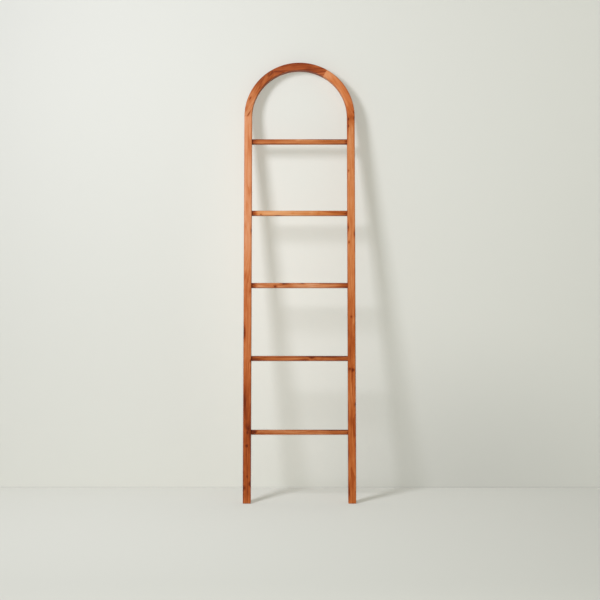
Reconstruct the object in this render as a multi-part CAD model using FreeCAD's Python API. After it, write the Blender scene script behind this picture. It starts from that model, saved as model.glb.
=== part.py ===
import FreeCAD, Part

import math
import os

from FreeCAD import Vector

# A blanket ladder: two square stiles, a half-round arch in three solid segments,
# five square rungs between the stiles, and hidden dowels across every joint.
# A pad under each foot stands on the floor and two domes behind the crown touch the wall.
#
# The wood is drawn upright, with X across, Y in depth and Z along the stiles, and is
# then tipped back. In the finished frame the floor is Z = 0, the front faces -Y, the
# wall is on the +Y side, and the origin is midway between the front of the feet and
# the wall. Lengths are in millimetres and angles in degrees.

# Stiles and arch
LADDER_LENGTH = 1828.0  # floor to the top of the crown, along the stiles
LADDER_WIDTH = 460.0  # over the outsides of the stiles
MEMBER_WIDTH = 32.0  # stile and arch, seen from the front
MEMBER_DEPTH = 32.0  # stile and arch, front to back
MEMBER_EDGE_RADIUS = 2.5
LEAN = 9.5  # tipped back from upright

# Rungs
RUNG_COUNT = 5
RUNG_HEIGHT = 20.0
RUNG_DEPTH = 20.0
RUNG_EDGE_RADIUS = 1.5
FIRST_RUNG_UP = 286.5  # floor to the centre of the lowest rung, along the stiles
LAST_RUNG_BELOW_ARCH = 105.5  # centre of the highest rung to the foot of the arch

# Fluted dowels, two across each joint
RUNG_DOWEL_DIAMETER = 6.0
RUNG_DOWEL_LENGTH = 30.0
RUNG_DOWEL_SPACING = 9.0
ARCH_DOWEL_DIAMETER = 8.0
ARCH_DOWEL_LENGTH = 40.0
ARCH_DOWEL_SPACING = 15.0
DOWEL_CHAMFER = 0.8
DOWEL_FLUTES = 10
DOWEL_FLUTE_RADIUS = 0.45
DOWEL_HOLE_CLEARANCE = 0.05  # all round the dowel
DOWEL_END_GAP = 1.0  # room for glue past each end

# Non-slip pads, let into the soles of the feet
PAD_DIAMETER = 22.0
PAD_THICKNESS = 3.0
PAD_PROUD = 1.0  # how far a pad stands out of its foot
PAD_EDGE_RADIUS = 0.5
PAD_CLEARANCE = 0.1  # all round the pad

# Domes stuck to the back of the crown
BUMPER_DIAMETER = 14.0
BUMPER_HEIGHT = 5.0
BUMPER_SPACING = 70.0

# What follows from the sizes above
ARCH_RADIUS = LADDER_WIDTH / 2 - MEMBER_WIDTH / 2  # along the middle of the arch
ARCH_FOOT_Z = LADDER_LENGTH - LADDER_WIDTH / 2  # where the stiles end and the arch starts
ARCH_CENTRE = Vector(0, 0, ARCH_FOOT_Z)
RUNG_LENGTH = LADDER_WIDTH - 2 * MEMBER_WIDTH
LAST_RUNG_UP = ARCH_FOOT_Z - LAST_RUNG_BELOW_ARCH
RUNG_PITCH = (LAST_RUNG_UP - FIRST_RUNG_UP) / (RUNG_COUNT - 1)
LEAN_SIN = math.sin(math.radians(LEAN))
LEAN_COS = math.cos(math.radians(LEAN))
LEAN_TAN = LEAN_SIN / LEAN_COS

ARCH_SEGMENTS = ("arch_right_segment", "arch_crown_segment", "arch_left_segment")
ARCH_JOINTS = ("right_spring_dowels", "right_crown_dowels", "left_crown_dowels", "left_spring_dowels")
SEGMENT_ANGLE = 180.0 / len(ARCH_SEGMENTS)
SIDES = {"left": -1, "right": 1}

# A dome is the cap of a ball, and its centre lies inside the wood of the crown.
BUMPER_BALL_RADIUS = (BUMPER_DIAMETER ** 2 / 4 + BUMPER_HEIGHT ** 2) / (2 * BUMPER_HEIGHT)
BUMPER_BALL_Y = MEMBER_DEPTH / 2 + BUMPER_HEIGHT - BUMPER_BALL_RADIUS
BUMPER_Z = ARCH_FOOT_Z + math.sqrt(ARCH_RADIUS ** 2 - BUMPER_SPACING ** 2 / 4)

# Tipped back, the front of the feet and the wall stand this far from the middle of the soles.
FRONT_Y = PAD_PROUD * LEAN_TAN - MEMBER_DEPTH / 2 / LEAN_COS
WALL_Y = BUMPER_BALL_Y * LEAN_COS + BUMPER_Z * LEAN_SIN + BUMPER_BALL_RADIUS
MIDDLE_Y = (FRONT_Y + WALL_Y) / 2
FOOT_Y = PAD_PROUD * LEAN_TAN - MIDDLE_Y

UP = Vector(0, 0, 1)
ACROSS = Vector(1, 0, 0)
BACKWARD = Vector(0, 1, 0)
FORWARD = Vector(0, -1, 0)


def rounded_rectangle(width, depth, radius):
    """A flat face square to Z and centred on the origin, with rounded corners."""
    half_x = width / 2 - radius
    half_y = depth / 2 - radius
    centres = ((half_x, half_y), (-half_x, half_y), (-half_x, -half_y), (half_x, -half_y))
    corners = []
    for quarter, (x, y) in enumerate(centres):
        start = 90 * quarter
        corners.append(Part.makeCircle(radius, Vector(x, y, 0), UP, start, start + 90))
    sides = []
    for corner, following in zip(corners, corners[1:] + corners[:1]):
        sides.append(Part.makeLine(corner.lastVertex().Point, following.firstVertex().Point))
    return Part.Face(Part.Wire(Part.__sortEdges__(corners + sides)))


def drill(solid, holes):
    """The solid with every hole cut out of it."""
    return solid.cut(Part.makeCompound(holes)).Solids[0]


def tipped_back(shape):
    """A shape drawn upright, leaned against the wall and set over the origin."""
    return shape.rotated(Vector(), ACROSS, -LEAN).translated(Vector(0, -MIDDLE_Y, 0))


def fluted_dowel(diameter, length):
    """A dowel along Z, centred on the origin, with chamfered ends and glue grooves."""
    radius = diameter / 2
    rod = Part.makeCylinder(radius, length, Vector(0, 0, -length / 2))
    rod = rod.makeChamfer(DOWEL_CHAMFER, [edge for edge in rod.Edges if edge.isClosed()])
    grooves = []
    for number in range(DOWEL_FLUTES):
        angle = 2 * math.pi * number / DOWEL_FLUTES
        foot = Vector(radius * math.cos(angle), radius * math.sin(angle), -length)
        grooves.append(Part.makeCylinder(DOWEL_FLUTE_RADIUS, 2 * length, foot))
    return drill(rod, grooves)


def dowel_hole(diameter, length):
    """The room that a dowel of this size takes, with its clearance, centred on the origin."""
    depth = length + 2 * DOWEL_END_GAP
    return Part.makeCylinder(diameter / 2 + DOWEL_HOLE_CLEARANCE, depth, Vector(0, 0, -depth / 2))


def across_arch_joint(pin, joint):
    """Two copies of a pin across one joint of the arch, counted from the right-hand stile."""
    placed = []
    for side in SIDES.values():
        spot = Vector(ARCH_RADIUS, side * ARCH_DOWEL_SPACING / 2, ARCH_FOOT_Z)
        upright = pin.translated(spot)
        placed.append(upright.rotated(ARCH_CENTRE, FORWARD, joint * SEGMENT_ANGLE))
    return placed


def across_rung_end(pin, rung_z, side):
    """Two copies of a pin, one above the other, across one end of a rung."""
    lying = pin.rotated(Vector(), BACKWARD, 90)
    placed = []
    for above in SIDES.values():
        height = rung_z + above * RUNG_DOWEL_SPACING / 2
        placed.append(lying.translated(Vector(side * RUNG_LENGTH / 2, 0, height)))
    return placed


def rung_heights():
    """The centre of each rung along the stiles, from the lowest up."""
    return [FIRST_RUNG_UP + number * RUNG_PITCH for number in range(RUNG_COUNT)]


def foot_pad(side):
    """A round pad whose lower face is on the floor."""
    pad = Part.makeCylinder(PAD_DIAMETER / 2, PAD_THICKNESS, Vector(side * ARCH_RADIUS, FOOT_Y, 0))
    lower_rim = [edge for edge in pad.Edges if edge.isClosed() and edge.BoundBox.ZMax < PAD_PROUD]
    return pad.makeFillet(PAD_EDGE_RADIUS, lower_rim)


def pad_recess(side):
    """The pocket in the sole that a pad sits in, open below."""
    return Part.makeCylinder(PAD_DIAMETER / 2 + PAD_CLEARANCE, PAD_THICKNESS, Vector(side * ARCH_RADIUS, FOOT_Y, 0))


def floor_cut(side):
    """A block that takes off the lower end of a stile where the sole is cut level."""
    corner = Vector(side * ARCH_RADIUS - MEMBER_WIDTH, FOOT_Y - MEMBER_DEPTH, PAD_PROUD - 2 * MEMBER_DEPTH)
    return Part.makeBox(2 * MEMBER_WIDTH, 2 * MEMBER_DEPTH, 2 * MEMBER_DEPTH, corner)


def stile(side):
    """One leg, from its level sole up to the foot of the arch."""
    section = rounded_rectangle(MEMBER_WIDTH, MEMBER_DEPTH, MEMBER_EDGE_RADIUS)
    section.translate(Vector(side * ARCH_RADIUS, 0, -MEMBER_DEPTH))
    post = section.extrude(Vector(0, 0, ARCH_FOOT_Z + MEMBER_DEPTH))
    rung_hole = dowel_hole(RUNG_DOWEL_DIAMETER, RUNG_DOWEL_LENGTH)
    arch_hole = dowel_hole(ARCH_DOWEL_DIAMETER, ARCH_DOWEL_LENGTH)
    last_joint = len(ARCH_SEGMENTS)
    holes = across_arch_joint(arch_hole, 0 if side > 0 else last_joint)
    for height in rung_heights():
        holes += across_rung_end(rung_hole, height, side)
    return drill(tipped_back(drill(post, holes)), [floor_cut(side), pad_recess(side)])


def arch_segment(number):
    """One of the bent pieces of the arch, counted from the right-hand stile."""
    section = rounded_rectangle(MEMBER_WIDTH, MEMBER_DEPTH, MEMBER_EDGE_RADIUS)
    section.translate(Vector(ARCH_RADIUS, 0, ARCH_FOOT_Z))
    section.rotate(ARCH_CENTRE, FORWARD, number * SEGMENT_ANGLE)
    bend = section.revolve(ARCH_CENTRE, FORWARD, SEGMENT_ANGLE)
    hole = dowel_hole(ARCH_DOWEL_DIAMETER, ARCH_DOWEL_LENGTH)
    holes = across_arch_joint(hole, number) + across_arch_joint(hole, number + 1)
    return tipped_back(drill(bend, holes))


def rung(height):
    """One square bar, butted between the inner faces of the stiles."""
    section = rounded_rectangle(RUNG_HEIGHT, RUNG_DEPTH, RUNG_EDGE_RADIUS)
    section.rotate(Vector(), BACKWARD, 90)
    section.translate(Vector(-RUNG_LENGTH / 2, 0, height))
    bar = section.extrude(Vector(RUNG_LENGTH, 0, 0))
    hole = dowel_hole(RUNG_DOWEL_DIAMETER, RUNG_DOWEL_LENGTH)
    holes = across_rung_end(hole, height, SIDES["left"]) + across_rung_end(hole, height, SIDES["right"])
    return tipped_back(drill(bar, holes))


def rung_dowels(height):
    """The four dowels that hold one rung."""
    dowel = fluted_dowel(RUNG_DOWEL_DIAMETER, RUNG_DOWEL_LENGTH)
    dowels = across_rung_end(dowel, height, SIDES["left"]) + across_rung_end(dowel, height, SIDES["right"])
    return tipped_back(Part.makeCompound(dowels))


def arch_dowels(joint):
    """The two dowels across one joint of the arch."""
    dowel = fluted_dowel(ARCH_DOWEL_DIAMETER, ARCH_DOWEL_LENGTH)
    return tipped_back(Part.makeCompound(across_arch_joint(dowel, joint)))


def wall_bumper(side):
    """A soft dome on the back of the crown, which touches the wall."""
    x = side * BUMPER_SPACING / 2
    ball = Part.makeSphere(BUMPER_BALL_RADIUS, Vector(x, BUMPER_BALL_Y, BUMPER_Z))
    back_face = Vector(x, MEMBER_DEPTH / 2, BUMPER_Z)
    behind_crown = Part.makeCylinder(BUMPER_BALL_RADIUS, 2 * BUMPER_HEIGHT, back_face, BACKWARD)
    return tipped_back(ball.common(behind_crown).Solids[0])


def ladder():
    """Every piece of the ladder by name."""
    pieces = {}
    for name, side in SIDES.items():
        pieces[name + "_stile"] = stile(side)
        pieces[name + "_foot_pad"] = foot_pad(side)
        pieces[name + "_wall_bumper"] = wall_bumper(side)
    for number, name in enumerate(ARCH_SEGMENTS):
        pieces[name] = arch_segment(number)
    for number, name in enumerate(ARCH_JOINTS):
        pieces[name] = arch_dowels(number)
    for number, height in enumerate(rung_heights(), start=1):
        pieces[f"rung_{number}"] = rung(height)
        pieces[f"rung_{number}_dowels"] = rung_dowels(height)
    return pieces


os.makedirs("parts", exist_ok=True)
for piece_name, piece in ladder().items():
    piece.exportStep(f"parts/{piece_name}.step")
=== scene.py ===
import math

import bmesh
import bpy
from mathutils import Euler, Matrix, Vector, noise


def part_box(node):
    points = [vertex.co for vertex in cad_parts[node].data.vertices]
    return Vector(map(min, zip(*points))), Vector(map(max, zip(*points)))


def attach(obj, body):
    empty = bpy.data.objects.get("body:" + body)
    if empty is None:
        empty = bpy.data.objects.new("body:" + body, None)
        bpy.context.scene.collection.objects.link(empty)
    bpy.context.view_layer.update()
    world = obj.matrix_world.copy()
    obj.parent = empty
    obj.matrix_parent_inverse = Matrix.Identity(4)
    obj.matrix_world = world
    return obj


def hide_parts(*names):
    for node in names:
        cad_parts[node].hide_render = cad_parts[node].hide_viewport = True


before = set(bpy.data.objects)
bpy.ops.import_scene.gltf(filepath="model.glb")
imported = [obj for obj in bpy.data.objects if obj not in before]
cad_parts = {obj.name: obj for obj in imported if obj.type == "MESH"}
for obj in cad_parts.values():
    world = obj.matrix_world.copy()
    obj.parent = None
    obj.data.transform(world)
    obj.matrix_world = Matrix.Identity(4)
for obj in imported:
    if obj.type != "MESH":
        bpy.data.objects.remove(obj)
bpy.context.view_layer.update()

# ---------------------------------------------------------------- sizes, in metres

LEAN = math.radians(9.5)
LADDER_LENGTH = 1.828
MEMBER_EDGE = 0.0026  # radius of the eased edges of stiles and arch
RUNG_EDGE = 0.0016
RUNG_THICKNESS = 0.020
PAD_CLEARANCE = 0.0001
END_CHAMFER = 0.00025  # the fine line where two boards meet
SOLE_CHAMFER = 0.0009
LEVEL_REACH = 0.05  # above this much of a stile its rings are square to it
SEGMENT_ANGLE = math.pi / 3

left_foot, left_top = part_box("left_stile")
MEMBER = left_top.x - left_foot.x
OUTER_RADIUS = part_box("right_stile")[1].x
ARCH_RADIUS = OUTER_RADIUS - MEMBER / 2
INNER_RADIUS = OUTER_RADIUS - MEMBER
ARCH_FOOT_Z = LADDER_LENGTH - OUTER_RADIUS
SOLE_Z = left_foot.z
WALL_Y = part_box("left_wall_bumper")[1].y  # the wall touches the tips of the bumpers
# where the middle of the stiles would meet the floor
HINGE = Vector((0, left_foot.y + MEMBER / 2 / math.cos(LEAN) - SOLE_Z * math.tan(LEAN), 0))
TIP_BACK = Matrix.Translation(HINGE) @ Matrix.Rotation(-LEAN, 4, "X")

# the longest gap between two rings of a mesh
STILE_STEP = 0.006
ARCH_STEP = 0.0035
RUNG_STEP = 0.004
# the steps of a section round each eased edge, and along each flat side
EDGE_STEPS = 5
FLAT_STEPS = 5
SHARP_ANGLE = math.radians(40)

WAVER = 0.00016  # how far hand sanding leaves a face below its true plane
FACE_WAVES = (30, 7)  # its waves in a metre, across a board and along it
ROUNDING = 0.6  # how much lower it leaves the edges, as a share of the waver
ROUNDING_WAVES = (90, 11)
ROUNDING_BAND = 0.2  # how far in from an edge that reaches, as a share of the half width


def upright(point):
    """A point of the leaned ladder, as it lies when the ladder is drawn upright."""
    return TIP_BACK.inverted() @ point


def middle(node):
    """The middle of a CAD node's box."""
    low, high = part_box(node)
    return (low + high) / 2


# ---------------------------------------------------------------- boards as meshes


def section(half, edge):
    """Points of a square with rounded corners, as (across, deep)."""
    points = []
    for quarter in range(4):
        turn = Matrix.Rotation(quarter * math.pi / 2, 2)
        for step in range(EDGE_STEPS + 1):
            angle = math.pi / 2 * step / EDGE_STEPS
            corner = Vector((half - edge + edge * math.cos(angle), half - edge + edge * math.sin(angle)))
            points.append(turn @ corner)
        for step in range(1, FLAT_STEPS):
            across = (half - edge) * (1 - 2 * step / FLAT_STEPS)
            points.append(turn @ Vector((across, half)))
    return points


def wave(x, y, z):
    """Smooth noise between 0 and 1."""
    return 0.5 + 0.5 * noise.noise(Vector((x, y, z)))


def worn(point, half, along, seed):
    """A section point let in a little, as hand sanding leaves it."""
    face_across, face_along = FACE_WAVES
    dip = wave(point.x * face_across, point.y * face_across + seed, along * face_along)
    corner = min(abs(point.x), abs(point.y)) / half
    near_edge = max(0.0, corner - (1 - ROUNDING_BAND)) / ROUNDING_BAND
    edge_across, edge_along = ROUNDING_WAVES
    rounding = near_edge * wave(seed, point.x * edge_across, along * edge_along)
    return point * (1 - (WAVER * dip + ROUNDING * WAVER * rounding) / half)


def skin(name, rings, sole=None):
    """A closed mesh through rings of points; sole, if given, is a function that closes the first ring."""
    mesh = bmesh.new()
    rows = [[mesh.verts.new(point) for point in ring] for ring in rings]
    count = len(rows[0])
    for lower, upper in zip(rows, rows[1:]):
        for index in range(count):
            following = (index + 1) % count
            mesh.faces.new((lower[index], lower[following], upper[following], upper[index]))
    if sole:
        sole(mesh, rows[0])
    else:
        mesh.faces.new(list(reversed(rows[0])))
    mesh.faces.new(rows[-1])
    bmesh.ops.recalc_face_normals(mesh, faces=mesh.faces)
    data = bpy.data.meshes.new(name)
    mesh.to_mesh(data)
    mesh.free()
    for face in data.polygons:
        face.use_smooth = True
    data.set_sharp_from_angle(angle=SHARP_ANGLE)
    piece = bpy.data.objects.new(name, data)
    bpy.context.scene.collection.objects.link(piece)
    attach(piece, "root")
    return piece


def spread(start, end, gap):
    """Even steps from start to end, at most a gap apart."""
    count = max(1, math.ceil(abs(end - start) / gap))
    return [start + (end - start) * step / count for step in range(count + 1)]


def board_rings(place, start, end, gap, half, edge, seed, chamfers=(END_CHAMFER, END_CHAMFER)):
    """Rings of a board whose section point p at length s lies at place(p, s)."""
    shape = section(half, edge)
    first, last = chamfers
    rings = []
    stops = spread(start + first, end - last, gap)
    for along, inset in [(start, first)] + [(stop, 0) for stop in stops] + [(end, last)]:
        ring = []
        for point in shape:
            let_in = worn(point, half, along, seed) * (1 - inset / half)
            ring.append(place(let_in, along))
        rings.append(ring)
    return rings


def stile(node, side, seed):
    """A leg, level at the sole and square at the foot of the arch."""
    sole = SOLE_Z / math.cos(LEAN)

    def place(point, along):
        slope = max(0.0, 1 - (along - sole) / LEVEL_REACH)
        spot = Vector((side * ARCH_RADIUS + point.x, point.y, along + slope * point.y * math.tan(LEAN)))
        return TIP_BACK @ spot

    pad_node = node.replace("stile", "foot_pad")
    pad = middle(pad_node)
    pad_low, pad_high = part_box(pad_node)
    radius = (pad_high.x - pad_low.x) / 2 + PAD_CLEARANCE

    def recess(mesh, rim):
        """Closes the sole round a pocket for the foot pad."""
        around = []
        for corner in rim:
            away = Vector((corner.co.x - pad.x, corner.co.y - pad.y, 0)).normalized()
            around.append(away * radius)
        mouth = [mesh.verts.new((pad.x + off.x, pad.y + off.y, SOLE_Z)) for off in around]
        roof = [mesh.verts.new((pad.x + off.x, pad.y + off.y, pad_high.z)) for off in around]
        for index in range(len(rim)):
            following = (index + 1) % len(rim)
            mesh.faces.new((rim[following], rim[index], mouth[index], mouth[following]))
            mesh.faces.new((mouth[following], mouth[index], roof[index], roof[following]))
        mesh.faces.new(list(reversed(roof)))

    chamfers = (SOLE_CHAMFER, END_CHAMFER)
    rings = board_rings(place, sole, ARCH_FOOT_Z, STILE_STEP, MEMBER / 2, MEMBER_EDGE, seed, chamfers)
    piece = skin(node + "_wood", rings, recess)
    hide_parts(node)
    return piece


def arch_segment(node, number, seed):
    """A bent board, sixty degrees of the arch."""
    start = number * SEGMENT_ANGLE

    def place(point, along):
        angle = along / ARCH_RADIUS
        out = ARCH_RADIUS + point.x
        return TIP_BACK @ Vector((out * math.cos(angle), point.y, ARCH_FOOT_Z + out * math.sin(angle)))

    first = start * ARCH_RADIUS
    last = (start + SEGMENT_ANGLE) * ARCH_RADIUS
    rings = board_rings(place, first, last, ARCH_STEP, MEMBER / 2, MEMBER_EDGE, seed)
    piece = skin(node + "_wood", rings)
    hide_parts(node)
    return piece


def rung(node, seed):
    """A square bar between the stiles."""
    centre = upright(middle(node))
    half = RUNG_THICKNESS / 2

    def place(point, along):
        return TIP_BACK @ Vector((along, centre.y + point.x, centre.z + point.y))

    rings = board_rings(place, -INNER_RADIUS, INNER_RADIUS, RUNG_STEP, half, RUNG_EDGE, seed)
    piece = skin(node + "_wood", rings)
    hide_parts(node)
    return piece


# ---------------------------------------------------------------- materials

NOISE_MIDDLE = 0.5  # about the average of a noise
NOISE_RANGE = (0.3, 0.7)  # where most of it lies


class Nodes:
    """A short way to write a material's nodes."""

    def __init__(self, name):
        self.material = bpy.data.materials.new(name)
        self.material.use_nodes = True
        self.tree = self.material.node_tree
        self.tree.nodes.clear()

    def node(self, kind, inputs=None, **settings):
        """A new node with its settings, and its inputs linked or set."""
        made = self.tree.nodes.new(kind)
        for key, value in settings.items():
            setattr(made, key, value)
        for key, value in (inputs or {}).items():
            self.feed(made.inputs[key], value)
        return made

    def feed(self, socket, value):
        """Links another node's output to a socket, or sets a plain value."""
        if isinstance(value, bpy.types.NodeSocket):
            self.tree.links.new(value, socket)
        else:
            socket.default_value = value

    def math(self, operation, *values, clamp=False):
        made = self.node("ShaderNodeMath", operation=operation, use_clamp=clamp)
        for socket, value in zip(made.inputs, values):
            self.feed(socket, value)
        return made.outputs[0]

    def vector(self, operation, *values):
        made = self.node("ShaderNodeVectorMath", operation=operation)
        for socket, value in zip(made.inputs, values):
            self.feed(socket, value)
        return made.outputs["Value" if operation == "LENGTH" else "Vector"]

    def scaled(self, vector, scale):
        return self.vector("MULTIPLY", vector, scale)

    def noise(self, vector, detail, roughness=0.5):
        sockets = {"Vector": vector, "Scale": 1.0, "Detail": detail, "Roughness": roughness}
        return self.node("ShaderNodeTexNoise", sockets)

    def between(self, value, low, high, to_low=0.0, to_high=1.0, smooth=True):
        """The value carried from one range to another, and held there."""
        made = self.node(
            "ShaderNodeMapRange",
            {"Value": value, "From Min": low, "From Max": high, "To Min": to_low, "To Max": to_high},
            interpolation_type="SMOOTHSTEP" if smooth else "LINEAR",
        )
        return made.outputs["Result"]

    def mix(self, factor, first, second):
        """The first colour with a factor of the second in it."""
        made = self.node("ShaderNodeMix", data_type="RGBA")
        self.feed(made.inputs["Factor"], factor)
        self.feed(made.inputs["A"], first)
        self.feed(made.inputs["B"], second)
        return made.outputs["Result"]

    def ramp(self, value, stops):
        """A grey ramp through (place, level) stops."""
        return self.shades(value, [(place, (level, level, level, 1)) for place, level in stops])

    def shades(self, value, stops):
        """A colour ramp through (place, colour) stops."""
        made = self.node("ShaderNodeValToRGB", {"Fac": value})
        points = made.color_ramp.elements
        for index, (place, color) in enumerate(stops):
            point = points[index] if index < 2 else points.new(place)
            point.position = place
            point.color = color
        return made.outputs["Color"]

    def finish(self, color, roughness, height, depth, specular=0.5):
        """The material, with a relief that is a depth in metres times the height."""
        bump = self.node("ShaderNodeBump", {"Height": height, "Distance": depth, "Strength": 1.0})
        shader = self.node(
            "ShaderNodeBsdfPrincipled",
            {"Base Color": color, "Roughness": roughness, "Specular IOR Level": specular},
        )
        self.feed(shader.inputs["Normal"], bump.outputs["Normal"])
        output = self.node("ShaderNodeOutputMaterial")
        self.tree.links.new(shader.outputs["BSDF"], output.inputs["Surface"])
        return self.material


def srgb(red, green, blue):
    """A colour from its screen values, 0 to 255."""
    linear = [((value / 255 + 0.055) / 1.055) ** 2.4 for value in (red, green, blue)]
    return (*linear, 1)


# ---------------------------------------------------------------- wood

MM = 1000.0  # board coordinates are in millimetres

# Wood from pale to dark, as (darkness, colour).
WOOD_SHADES = (
    (0.0, srgb(210, 148, 102)),
    (0.33, srgb(196, 122, 70)),
    (0.6, srgb(176, 94, 42)),
    (0.8, srgb(150, 68, 22)),
    (1.0, srgb(110, 42, 12)),
)
PORE_WOOD = srgb(92, 36, 12)
# the colour of knot cores, and of the painted shadow across a rung's left end
KNOT_AND_SHADOW_WOOD = srgb(88, 30, 8)

# The noises of the wood, as (steps in a millimetre across, deep and along), detail and roughness.
GRAIN = {
    "wander": ((0.012, 0.012, 0.0021), 2.0, 0.5),
    "ripple": ((0.09, 0.09, 0.011), 3.0, 0.5),
    "fibre": ((0.9, 0.9, 0.014), 6.0, 0.62),
    "streak": ((0.16, 0.16, 0.0032), 4.0, 0.55),
    "pore": ((2.6, 2.6, 0.11), 2.0, 0.5),
    "cloud": ((0.075, 0.075, 0.019), 3.0, 0.5),
    # the last noise sets how the painted shade on the eased edges varies along them
    "edge_shade_noise": ((0.05, 0.05, 0.02), 4.0, 0.5),
}
SEED_SHIFT = (137.0, 59.0, 731.0)  # millimetres from one seed's noises to the next one's
WANDER_WIDTH = 46.0  # the whole width within which the grain is pushed sideways
RIPPLE_WIDTH = 4.4
TONE_WANDER = 0.12  # how far streaks carry a tone along the board, as a share of its length

RING_WIDTH = 4.2
RING_TONES = [(0.0, 0.0), (0.45, 0.12), (0.82, 0.75), (0.94, 1.0), (1.0, 0.1)]  # early wood to late
FAINTEST_RING = 0.35

# Bands are from where a pattern starts to where it is full. Those of knots and patches count their
# own radii, and the others millimetres, apart from the values of a noise.
KNOT_BULGE = 1.6  # how far a knot pushes the rings outward, in its radii
KNOT_BULGE_FADE = -0.3  # times the square of the distance, as an exponent
KNOT_CORE_BAND = (1.3, 0.4)
KNOT_HALO_BAND = (3.6, 0.8)
PATCH_BAND = (1.6, 0.2)
EDGE_BAND = (3.4, 0.8)  # of the painted shade on the edges, below the faces
END_SHADOW_BAND = (5.0, 3.0)  # from a rung's end, across which the left stile's shadow is painted
PORE_BAND = (0.64, 0.74)  # of the noise
# the next two set how strongly the painted shade on the edges follows its noise
EDGE_SHADE_BAND = (0.35, 0.6)  # of the noise
FAINTEST_EDGE_SHADE = 0.3

# how much darker each pattern makes the wood, and the level at which it leaves it as it is
STREAK_STRENGTH = 0.75
CLOUD_STRENGTH = 0.4
RING_STRENGTH = 0.26
RING_MIDDLE = 0.3
FIBRE_STRENGTH = 0.4
HALO_STRENGTH = 0.25
EDGE_STRENGTH = 0.2  # of the painted shade on the eased edges, unless a board has its own

# how much of the wood's colour the dark colours hide
PORE_COVER = 0.5
KNOT_COVER = 0.8
# how much of the wood's colour the painted shadow across a rung's left end hides
END_SHADOW_COVER = 0.85

WOOD_ROUGHNESS = (0.42, 0.56)
PORE_ROUGHNESS = 0.2
WOOD_SPECULAR = 0.2
GRAIN_DEPTH = 0.00012  # metres, of which the fibres, pores and rings have these shares
FIBRE_RELIEF = 0.35
PORE_RELIEF = 0.65
RING_RELIEF = 0.2


def board_axes(along, deep):
    """A rotation whose rows are the board's across, deep and along directions."""
    return Matrix((deep.cross(along), deep, along))


def board_place(n, origin, axes):
    """A point's place on the board, as (across, deep, along) in millimetres from its origin."""
    sockets = {
        "Vector": n.node("ShaderNodeTexCoord").outputs["Object"],
        "Location": -(axes @ origin) * MM,
        "Rotation": axes.to_euler("XYZ"),
        "Scale": (MM,) * 3,
    }
    return n.node("ShaderNodeMapping", sockets, vector_type="POINT").outputs["Vector"]


def grain(n, kind, place, output="Fac"):
    """One of the GRAIN noises at a place."""
    scale, detail, roughness = GRAIN[kind]
    return n.noise(n.scaled(place, scale), detail, roughness).outputs[output]


def sideways(n, kind, place, width):
    """A push across the grain, up to half a width each way, from one of the GRAIN noises."""
    centred = n.vector("SUBTRACT", grain(n, kind, place, "Color"), (NOISE_MIDDLE,) * 3)
    return n.scaled(centred, (width, width, 0.0))


def growth(n, look, board, drift, ripple):
    """The rings round a board's pith, and the cores and halos of the knots that push them outward."""
    bent = n.vector("ADD", n.vector("ADD", board, drift), ripple)
    pith = (*look["pith"], 0.0)
    distance = n.vector("LENGTH", n.scaled(n.vector("SUBTRACT", bent, pith), (1.0, 1.0, 0.0)))
    core = 0.0
    halo = 0.0
    for across, along, radius, stretch in look["knots"]:
        off = n.vector("ADD", n.vector("SUBTRACT", board, (across, 0.0, along)), ripple)
        near = n.vector("LENGTH", n.scaled(off, (1 / radius, 0.0, 1 / (radius * stretch))))
        fade = n.math("MULTIPLY", n.math("MULTIPLY", near, near), KNOT_BULGE_FADE)
        bulge = n.math("MULTIPLY", n.math("EXPONENT", fade), radius * KNOT_BULGE)
        distance = n.math("ADD", distance, bulge)
        core = n.math("MAXIMUM", core, n.between(near, *KNOT_CORE_BAND))
        halo = n.math("MAXIMUM", halo, n.between(near, *KNOT_HALO_BAND))
    years = n.math("DIVIDE", distance, RING_WIDTH)
    late = n.ramp(n.math("FRACT", years), RING_TONES)
    year = n.math("FLOOR", years)
    chance = n.node("ShaderNodeTexWhiteNoise", {"W": year}, noise_dimensions="1D").outputs["Value"]
    rings = n.math("MULTIPLY", late, n.between(chance, 0.0, 1.0, FAINTEST_RING, 1.0, smooth=False))
    return rings, core, halo


def tone(n, stops, along, streak):
    """How dark a board is along its length, with its stops drawn out by the streaks."""
    first = stops[0][0]
    reach = stops[-1][0] - first
    shift = n.math("MULTIPLY", n.math("SUBTRACT", streak, NOISE_MIDDLE), TONE_WANDER * reach)
    place = n.math("SUBTRACT", n.math("ADD", along, shift), first)
    share = n.math("DIVIDE", place, reach, clamp=True)
    return n.ramp(share, [((spot - first) / reach, level) for spot, level in stops])


def painted_edge_shade(n, board, moved, half, curve):
    """How much painted shade darkens the eased edges of a board, which varies along them."""
    across, deep, along = n.node("ShaderNodeSeparateXYZ", {"Vector": board}).outputs
    if curve:
        from_hub = n.math("ADD", across, curve * MM)
        hub = n.node("ShaderNodeCombineXYZ", {"X": from_hub, "Z": along}).outputs[0]
        across = n.math("SUBTRACT", n.vector("LENGTH", hub), curve * MM)
    corner = n.math("MINIMUM", n.math("ABSOLUTE", across), n.math("ABSOLUTE", deep))
    start, full = EDGE_BAND
    arris = n.between(corner, half * MM - start, half * MM - full)
    # a noise makes the painted shade on the edges stronger in places and fainter in others
    edge_shade_share = n.between(grain(n, "edge_shade_noise", moved), *EDGE_SHADE_BAND, FAINTEST_EDGE_SHADE, 1.0)
    return n.math("MULTIPLY", arris, edge_shade_share)


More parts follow.
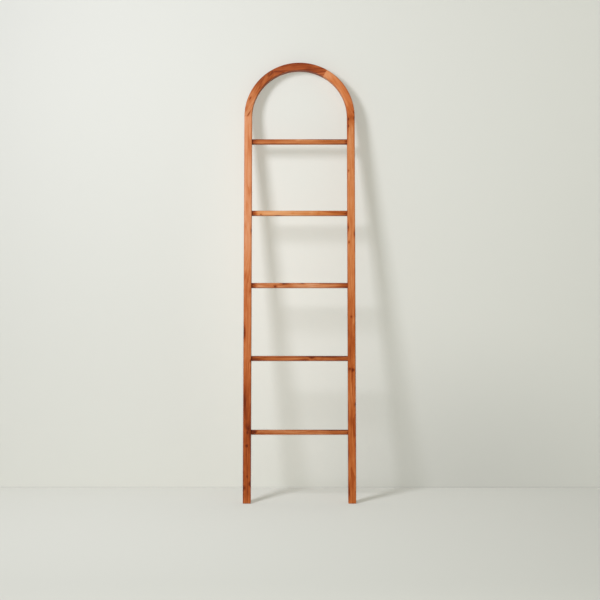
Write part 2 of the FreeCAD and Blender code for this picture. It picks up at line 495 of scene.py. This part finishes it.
def wood(node, look, origin, axes, half=MEMBER / 2, curve=0.0, shadowed_end=None):
    """Solid wood with rings round a pith, fibres, pores and knots, and painted shade darkening its edges.

    look is one of the BOARDS. origin is the board's middle and axes its directions, both in the frame.
    A curved board's radius, in metres, is curve, and its grain runs along its chord. The last argument is
    the place along the board, in millimetres, of a painted shadow across the board's end.
    """
    n = Nodes(node + "_wood")
    board = board_place(n, origin, axes)
    along = n.node("ShaderNodeSeparateXYZ", {"Vector": board}).outputs["Z"]
    moved = n.vector("ADD", board, [look["seed"] * shift for shift in SEED_SHIFT])

    # the grain wanders slowly along the board, with a quicker ripple in it
    drift = sideways(n, "wander", moved, WANDER_WIDTH)
    ripple = sideways(n, "ripple", moved, RIPPLE_WIDTH)
    drifting = n.vector("ADD", moved, drift)
    rings, knot_core, knot_halo = growth(n, look, board, drift, ripple)
    fibre = grain(n, "fibre", n.vector("ADD", moved, ripple))
    streak = grain(n, "streak", drifting)
    cloud = grain(n, "cloud", drifting)
    pores = n.between(grain(n, "pore", moved), *PORE_BAND)
    # painted shade along the eased edges
    edges = painted_edge_shade(n, board, moved, half, curve)

    darkness = tone(n, look["tones"], along, streak)
    patterns = (
        (streak, NOISE_MIDDLE, STREAK_STRENGTH),
        (cloud, NOISE_MIDDLE, CLOUD_STRENGTH),
        (rings, RING_MIDDLE, RING_STRENGTH),
        (fibre, NOISE_MIDDLE, FIBRE_STRENGTH),
        (knot_halo, 0.0, HALO_STRENGTH),
        (edges, 0.0, look.get("edges", EDGE_STRENGTH)),
    )
    for pattern, level, strength in patterns:
        change = n.math("MULTIPLY", n.math("SUBTRACT", pattern, level), strength)
        darkness = n.math("ADD", darkness, change, clamp=True)
    for patch_across, patch_along, wide, tall, change in look["patches"]:
        off = n.vector("SUBTRACT", n.vector("ADD", board, ripple), (patch_across, 0.0, patch_along))
        radii = n.vector("LENGTH", n.scaled(off, (1 / wide, 0.0, 1 / tall)))
        darkness = n.math("ADD", darkness, n.between(radii, *PATCH_BAND, 0.0, change), clamp=True)

    # the tint gives each board its hue; where it raises blue it is partly a painted sheen
    color = n.scaled(n.shades(darkness, WOOD_SHADES), look["tint"])
    color = n.mix(n.math("MULTIPLY", pores, PORE_COVER), color, PORE_WOOD)
    color = n.mix(n.math("MULTIPLY", knot_core, KNOT_COVER), color, KNOT_AND_SHADOW_WOOD)
    # painted shadow across the rung's end, where the left stile shades it
    if shadowed_end is not None:
        gap = n.math("ABSOLUTE", n.math("SUBTRACT", along, shadowed_end))
        color = n.mix(n.between(gap, *END_SHADOW_BAND, 0.0, END_SHADOW_COVER), color, KNOT_AND_SHADOW_WOOD)

    roughness = n.between(fibre, *NOISE_RANGE, *WOOD_ROUGHNESS, smooth=False)
    roughness = n.math("ADD", roughness, n.math("MULTIPLY", pores, PORE_ROUGHNESS))
    height = n.math("MULTIPLY", fibre, FIBRE_RELIEF)
    height = n.math("SUBTRACT", height, n.math("MULTIPLY", pores, PORE_RELIEF))
    height = n.math("SUBTRACT", height, n.math("MULTIPLY", rings, RING_RELIEF))
    return n.finish(color, roughness, height, GRAIN_DEPTH, WOOD_SPECULAR)


# ---------------------------------------------------------------- the boards and their wood

BACKWARD = TIP_BACK.to_3x3() @ Vector((0, 1, 0))
UPWARD = TIP_BACK.to_3x3() @ Vector((0, 0, 1))
ACROSS = Vector((1, 0, 0))


def dress(piece, material):
    """Gives a piece one material in place of any that it has."""
    piece.data.materials.clear()
    piece.data.materials.append(material)


# How each board looks, as seen in the photo. seed sets its own grain and pith the middle of its rings,
# as (across, deep) in millimetres; tint is its hue, and where it raises blue it is partly a painted
# sheen. tones are (along, darkness) stops: up a stile, anticlockwise round the arch, and from left to
# right along a rung. knots are (across, along, radius, stretch) and patches (across, along, width,
# length, change of darkness), all measured in millimetres from the board's middle line: across to the
# right on a stile, outward on the arch, down on a rung. edges is how much painted shade darkens its
# edges, where that isn't EDGE_STRENGTH; a value below zero is painted light instead.
BOARDS = {
    "left_stile": {
        "seed": 1.0,
        "pith": (-22.0, 34.0),
        "tint": (0.98, 0.96, 1.09),
        "tones": [(0, 0.68), (60, 0.78), (370, 0.84), (620, 0.55), (890, 0.54), (1030, 0.25), (1600, 0.25)],
        "knots": [
            (14, 1117, 1.8, 5), (-13, 700, 2, 8), (13, 577, 1.8, 2), (-9, 414, 1.8, 14),
            (6, 301, 2.6, 1.4), (2, 285, 2, 1.5), (-1.5, 231, 2.2, 1.3), (1, 107, 1.5, 1.5),
            (12, 77, 2.4, 1.8), (-11, 61, 2.6, 1.8),
        ],
        "patches": [
            (7, 1478, 6, 40, 0.18), (-6, 1140, 6, 14, 0.12), (-8, 933, 6, 20, 0.12),
            (-12, 685, 6, 30, 0.2), (0, 310, 14, 12, 0.15),
        ],
    },
    "right_stile": {
        "seed": 2.0,
        "pith": (26.0, 30.0),
        "tint": (0.98, 0.94, 0.92),
        "tones": [
            (0, 0.57), (370, 0.67), (440, 0.48), (640, 0.74),
            (900, 0.46), (1060, 0.37), (1530, 0.33), (1598, 0.72),
        ],
        "knots": [
            (-11, 1368, 2.2, 1.4), (12, 1590, 1.6, 2.2), (-9, 1586, 1.6, 1.6), (-9, 1557, 1.5, 2),
            (13, 1105, 1.5, 6), (-9, 1068, 2, 2), (-12, 1130, 1.8, 4), (-1, 759, 1.8, 1.3),
            (-8, 545, 1.8, 1.4), (5, 540, 2.2, 1.2), (13, 399, 1.8, 3), (-12, 43, 2, 8),
        ],
        "patches": [
            (-6, 1500, 5, 18, -0.12), (-13, 1133, 4, 20, 0.2), (13, 1104, 3, 16, 0.2),
            (10, 742, 5, 14, -0.2), (0, 540, 14, 9, 0.16), (-5, 331, 8, 20, 0.12),
        ],
    },
    "arch_right_segment": {
        "seed": 4.0,
        "pith": (-22.0, 34.0),
        "tint": (1.0, 0.9, 0.87),
        "tones": [(-108, 0.72), (-80, 0.6), (-48, 0.4), (60, 0.31), (95, 0.14)],
        "knots": [(-9, -99, 1.6, 2)],
        "patches": [(-10, 58, 3, 32, 0.18), (4, -8, 4, 50, 0.12), (-19, 78, 4, 24, -0.1)],
    },
    "arch_crown_segment": {
        "seed": 5.0,
        "pith": (-22.0, 34.0),
        "tint": (0.98, 1.0, 1.42),
        "tones": [(-108, 0.74), (-40, 0.92), (60, 0.82)],
        # painted light: the crown's edges are painted a little paler, where light from the floor reaches
        # them
        "edges": -0.06,
        "knots": [],
        "patches": [],
    },
    "arch_left_segment": {
        "seed": 6.0,
        "pith": (-22.0, 34.0),
        "tint": (1.01, 1.14, 1.5),
        "tones": [(-50, 0.82), (0, 0.7), (40, 0.5), (108, 0.44)],
        "knots": [(-25, 97, 1.6, 6), (3, 36, 1.6, 3)],
        "patches": [(-4, 84, 6, 16, 0.2)],
    },
    "rung_1": {
        "seed": 9.0,
        "pith": (18.0, 26.0),
        "tint": (0.93, 1.04, 1.36),
        "tones": [(-172, 0.59), (-40, 0.52), (50, 0.55), (190, 0.73)],
        "knots": [(0, -185, 3.4, 1.4), (-9, 120, 1.2, 30)],
        "patches": [],
    },
    "rung_2": {
        "seed": 10.0,
        "pith": (18.0, 26.0),
        "tint": (0.99, 1.17, 1.54),
        "tones": [(-172, 0.79), (-100, 0.69), (0, 0.73), (60, 0.82), (190, 0.89)],
        "knots": [(-2, 50, 2.8, 1.8), (-9, 110, 1.4, 25)],
        "patches": [(2, 78, 6, 14, -0.15)],
    },
    "rung_3": {
        "seed": 11.0,
        "pith": (18.0, 26.0),
        "tint": (0.99, 1.09, 1.4),
        "tones": [(-172, 0.47), (-40, 0.56), (45, 0.22), (160, 0.72), (190, 0.9)],
        "knots": [(-6, -65, 4, 1.9), (-9, 12, 3, 2.4), (5, -101, 3, 1.5), (-9, 110, 1.6, 22)],
        "patches": [(4, -160, 5, 14, -0.2), (0, -40, 6, 14, 0.12)],
    },
    "rung_4": {
        "seed": 12.0,
        "pith": (18.0, 26.0),
        "tint": (1.01, 1.07, 1.06),
        "tones": [(-172, 0.25), (-100, 0.08), (0, 0.22), (100, 0.49), (190, 0.75)],
        "knots": [(7, -160, 2.4, 1.5), (9, -92, 1.2, 14)],
        "patches": [(0, -28, 5, 8, 0.12), (-2, 50, 6, 9, -0.15), (0, 78, 6, 8, 0.12)],
    },
    "rung_5": {
        "seed": 13.0,
        "pith": (18.0, 26.0),
        "tint": (1.0, 1.15, 1.42),
        "tones": [(-172, 0.7), (-40, 0.57), (50, 0.5), (190, 0.72)],
        "knots": [(-9, 120, 1.3, 35)],
        "patches": [(-4, -5, 4, 12, -0.15)],
    },
}
STILES = {"left_stile": -1, "right_stile": 1}
ARCH_SEGMENTS = ("arch_right_segment", "arch_crown_segment", "arch_left_segment")  # as the angle grows
RUNGS = tuple(f"rung_{number}" for number in range(1, 6))
# the tones at both ends of every rung: painted shade where they meet the stiles, reaching further in at the
# left end, in the left stile's shadow
RUNG_LEFT_SHADOW = [(-198, 1.0), (-186, 0.88)]
RUNG_RIGHT_SHADE = [(195, 0.9), (198, 1.0)]

for node, side in STILES.items():
    look = BOARDS[node]
    piece = stile(node, side, look["seed"])
    origin = TIP_BACK @ Vector((side * ARCH_RADIUS, 0, 0))
    dress(piece, wood(node, look, origin, board_axes(UPWARD, BACKWARD)))

for number, node in enumerate(ARCH_SEGMENTS):
    look = BOARDS[node]
    piece = arch_segment(node, number, look["seed"])
    angle = (number + 0.5) * SEGMENT_ANGLE
    rise, run = math.sin(angle), math.cos(angle)
    chord = TIP_BACK.to_3x3() @ Vector((-rise, 0, run))
    origin = TIP_BACK @ Vector((run * ARCH_RADIUS, 0, ARCH_FOOT_Z + rise * ARCH_RADIUS))
    dress(piece, wood(node, look, origin, board_axes(chord, BACKWARD), curve=ARCH_RADIUS))
    "crown_wood" if "crown" in node else "stile_wood"

for node in RUNGS:
    look = BOARDS[node]
    # each rung's tones get painted shade at both ends, where it meets the stiles
    whole_look = {**look, "tones": RUNG_LEFT_SHADOW + look["tones"] + RUNG_RIGHT_SHADE}
    piece = rung(node, look["seed"])
    axes = board_axes(ACROSS, BACKWARD)
    left_end = -INNER_RADIUS * MM
    dress(piece, wood(node, whole_look, middle(node), axes, half=RUNG_THICKNESS / 2, shadowed_end=left_end))

# ---------------------------------------------------------------- small pieces

SPECK_DETAIL = 4.0
SPECK_ROUGHNESS = 0.06  # how much specks make a plain surface rougher or smoother


def plain_surface(name, color, patch, roughness, specks, depth):
    """A moulded or turned surface with faint mottling, of so many specks in a metre."""
    n = Nodes(name)
    place = n.node("ShaderNodeTexCoord").outputs["Object"]
    speck = n.noise(n.scaled(place, (specks,) * 3), SPECK_DETAIL).outputs["Fac"]
    tint = n.mix(n.between(speck, *NOISE_RANGE), color, patch)
    rough = n.between(speck, *NOISE_RANGE, roughness - SPECK_ROUGHNESS, roughness + SPECK_ROUGHNESS)
    return n.finish(tint, rough, speck, depth)


pad_rubber = plain_surface(
    "foot_pad_rubber", srgb(44, 38, 34), srgb(58, 52, 48), roughness=0.75, specks=900.0, depth=0.00008
)
bumper_rubber = plain_surface(
    "bumper_silicone", srgb(226, 224, 216), srgb(214, 212, 204), roughness=0.3, specks=500.0, depth=0.00002
)
dowel_wood = plain_surface(
    "dowel_beech", srgb(214, 180, 138), srgb(196, 160, 118), roughness=0.7, specks=1200.0, depth=0.00005
)

for side in ("left", "right"):
    dress(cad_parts[f"{side}_foot_pad"], pad_rubber)
    dress(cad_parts[f"{side}_wall_bumper"], bumper_rubber)
for node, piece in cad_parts.items():
    if node.endswith("_dowels"):
        dress(piece, dowel_wood)

# ---------------------------------------------------------------- floor and wall

WALL_COLOR = srgb(219, 218, 212)
FLOOR_COLOR = srgb(212, 211, 204)
PAINT_ROUGHNESS = 0.5
STAGE_REACH = 14.0
WALL_HEIGHT = 5.0
WALL_BACK = WALL_Y + 0.0002  # clear of the tips of the bumpers
# about the part of floor and wall that the camera sees
SEEN_ACROSS = (-1.25, 1.25)
SEEN_FLOOR = (-1.4, WALL_Y)
SEEN_WALL = (0.0, 2.0)
CORNER_SHADE_BAND = (0.004, 0.009)  # the heights between which the painted shade in the corner with the floor fades
WALL_LIGHT_AND_SHADOW_POOLS = ((-0.1, 0.8, 0.5, 1.3, 0.08), (0.7, 0.0, 1.0, 0.8, -0.14))  # a painted pool of light about the ladder and a painted shadow to its lower right


def painted_light_and_shade(n, up, span, right, rise, twist, corner_shade, pools):
    """A factor for a paint's colour that changes slowly over its surface, painting light and shade onto it.

    It grows by right towards the right edge, by rise along its other axis, which is up and runs over
    the given span, and by twist towards the corner where both are highest, a slow painted change of
    light. The next argument is the share of it that is left in the lowest few millimetres, a painted
    shade in the corner with the floor. Pools are soft ovals of painted light, or of painted shadow where
    change is below zero, as (x, place along up, half width, half height, change).
    """
    place = n.node("ShaderNodeTexCoord").outputs["Object"]
    axes = n.node("ShaderNodeSeparateXYZ", {"Vector": place}).outputs
    side = n.between(axes["X"], *SEEN_ACROSS, -1.0, 1.0, smooth=False)
    high = n.between(axes[up], *span, -1.0, 1.0, smooth=False)
    pale = n.math("MULTIPLY", side, n.math("ADD", right, n.math("MULTIPLY", high, twist)))
    pale = n.math("ADD", n.math("ADD", pale, n.math("MULTIPLY", high, rise)), 1.0)
    # painted pools of light and shadow
    for pool_x, pool_up, wide, tall, change in pools:
        off_x = n.math("DIVIDE", n.math("SUBTRACT", axes["X"], pool_x), wide)
        off_up = n.math("DIVIDE", n.math("SUBTRACT", axes[up], pool_up), tall)
        off = n.node("ShaderNodeCombineXYZ", {"X": off_x, "Y": off_up}).outputs[0]
        pale = n.math("ADD", pale, n.between(n.vector("LENGTH", off), 1.0, 0.0, 0.0, change))
    # painted shade in the corner at the foot of the surface
    return n.math("MULTIPLY", pale, n.between(axes["Z"], *CORNER_SHADE_BAND, corner_shade, 1.0))


def one_sided(name, color, up, span, right, rise, twist, corner_shade=1.0, pools=()):
    """A matt painted surface that a camera behind it looks through, with light and shade painted into its
    colour.
    """
    n = Nodes(name)
    pale = painted_light_and_shade(n, up, span, right, rise, twist, corner_shade, pools)
    tint = n.scaled(color[:3], n.node("ShaderNodeCombineXYZ", dict.fromkeys("XYZ", pale)).outputs[0])
    paint = n.node("ShaderNodeBsdfDiffuse", {"Color": tint, "Roughness": PAINT_ROUGHNESS})
    clear = n.node("ShaderNodeBsdfTransparent")
    behind = n.node("ShaderNodeNewGeometry").outputs["Backfacing"]
    shown = n.node("ShaderNodeMixShader", {"Fac": behind})
    n.tree.links.new(paint.outputs[0], shown.inputs[1])
    n.tree.links.new(clear.outputs[0], shown.inputs[2])
    output = n.node("ShaderNodeOutputMaterial")
    n.tree.links.new(shown.outputs[0], output.inputs["Surface"])
    return n.material


def panel(name, corners, material):
    """A flat stage panel that faces the side from which its corners run anticlockwise."""
    data = bpy.data.meshes.new(name)
    data.from_pydata(corners, [], [tuple(range(len(corners)))])
    made = bpy.data.objects.new(name, data)
    bpy.context.scene.collection.objects.link(made)
    dress(made, material)


LEFT, RIGHT = -STAGE_REACH, STAGE_REACH
FRONT, BACK = -STAGE_REACH, STAGE_REACH
# the floor's paint carries painted light and shade, paler towards the wall and darker towards the front
panel(
    "floor",
    [(LEFT, FRONT, 0), (RIGHT, FRONT, 0), (RIGHT, BACK, 0), (LEFT, BACK, 0)],
    one_sided("floor_paint_light_and_shade", FLOOR_COLOR, "Y", SEEN_FLOOR, right=0.008, rise=0.092, twist=-0.008),
)
# the wall's paint carries painted light and shade: a slow painted change of light across it, a painted pool
# of light about the ladder, a painted shadow to its lower right, and painted shade in its corner with the
# floor
wall_paint_light_and_shade = one_sided(
    "wall_paint_light_and_shade",
    WALL_COLOR,
    "Z",
    SEEN_WALL,
    right=0.079,
    rise=-0.033,
    twist=0.07,
    corner_shade=0.94,
    pools=WALL_LIGHT_AND_SHADOW_POOLS,
)
wall_foot = [(LEFT, WALL_BACK, 0), (RIGHT, WALL_BACK, 0)]
wall_top = [(RIGHT, WALL_BACK, WALL_HEIGHT), (LEFT, WALL_BACK, WALL_HEIGHT)]
panel("wall", wall_foot + wall_top, wall_paint_light_and_shade)

# ---------------------------------------------------------------- light and camera

# the camera, as fitted to the photo
CAMERA_BACK = 6.0  # from the wall
CAMERA_HEIGHT = 1.171
CAMERA_PITCH = math.radians(3.47)
CAMERA_SIDE = 0.002
IMAGE_WIDTH = 600
FOCAL_PIXELS = 1413.0
SENSOR_WIDTH = 36.0
CAMERA_SPOT = (CAMERA_SIDE, WALL_Y - CAMERA_BACK, CAMERA_HEIGHT)

SKY_LEVEL = 0.2
SKY_COLOR = (1.0, 0.99, 0.93, 1)
LAMP_TARGET = (0.0, WALL_Y, 0.9)
# The key's place comes from where the shadows of the rungs and stiles fall.
KEY_PLACE = (-1.47, WALL_Y - 1.95, 2.45)
KEY_SIZE = (0.62, 0.95)
KEY_POWER = 45.3
KEY_COLOR = (0.9, 0.92, 1.0)
# The fill stands at the camera, so that its shadows hide behind the ladder, as in the photo.
FILL_PLACE = CAMERA_SPOT
FILL_SIZE = (0.15, 0.15)
FILL_POWER = 174.3
FILL_COLOR = (0.97, 1.0, 0.955)

world = bpy.data.worlds.new("studio")
bpy.context.scene.world = world
world.use_nodes = True
sky = world.node_tree.nodes["Background"].inputs
sky["Color"].default_value = SKY_COLOR
sky["Strength"].default_value = SKY_LEVEL


def lamp(name, place, size, power, color, shine=True):
    """A soft lamp that isn't seen itself, and isn't mirrored unless it has shine."""
    light = bpy.data.lights.new(name, "AREA")
    light.shape = "RECTANGLE"
    light.size, light.size_y = size
    light.energy = power
    light.color = color
    made = bpy.data.objects.new(name, light)
    made.location = place
    made.rotation_euler = (Vector(LAMP_TARGET) - Vector(place)).to_track_quat("-Z", "Y").to_euler()
    made.visible_camera = False
    made.visible_glossy = shine
    bpy.context.scene.collection.objects.link(made)


lamp("key", KEY_PLACE, KEY_SIZE, KEY_POWER, KEY_COLOR)
lamp("fill", FILL_PLACE, FILL_SIZE, FILL_POWER, FILL_COLOR, shine=False)

camera_data = bpy.data.cameras.new("camera")
camera_data.sensor_width = SENSOR_WIDTH
camera_data.lens = FOCAL_PIXELS / IMAGE_WIDTH * SENSOR_WIDTH
camera = bpy.data.objects.new("camera", camera_data)
camera.location = CAMERA_SPOT
camera.rotation_euler = Euler((math.pi / 2 - CAMERA_PITCH, 0, 0))
bpy.context.scene.collection.objects.link(camera)
bpy.context.scene.camera = camera
bpy.context.scene.view_settings.view_transform = "Standard"
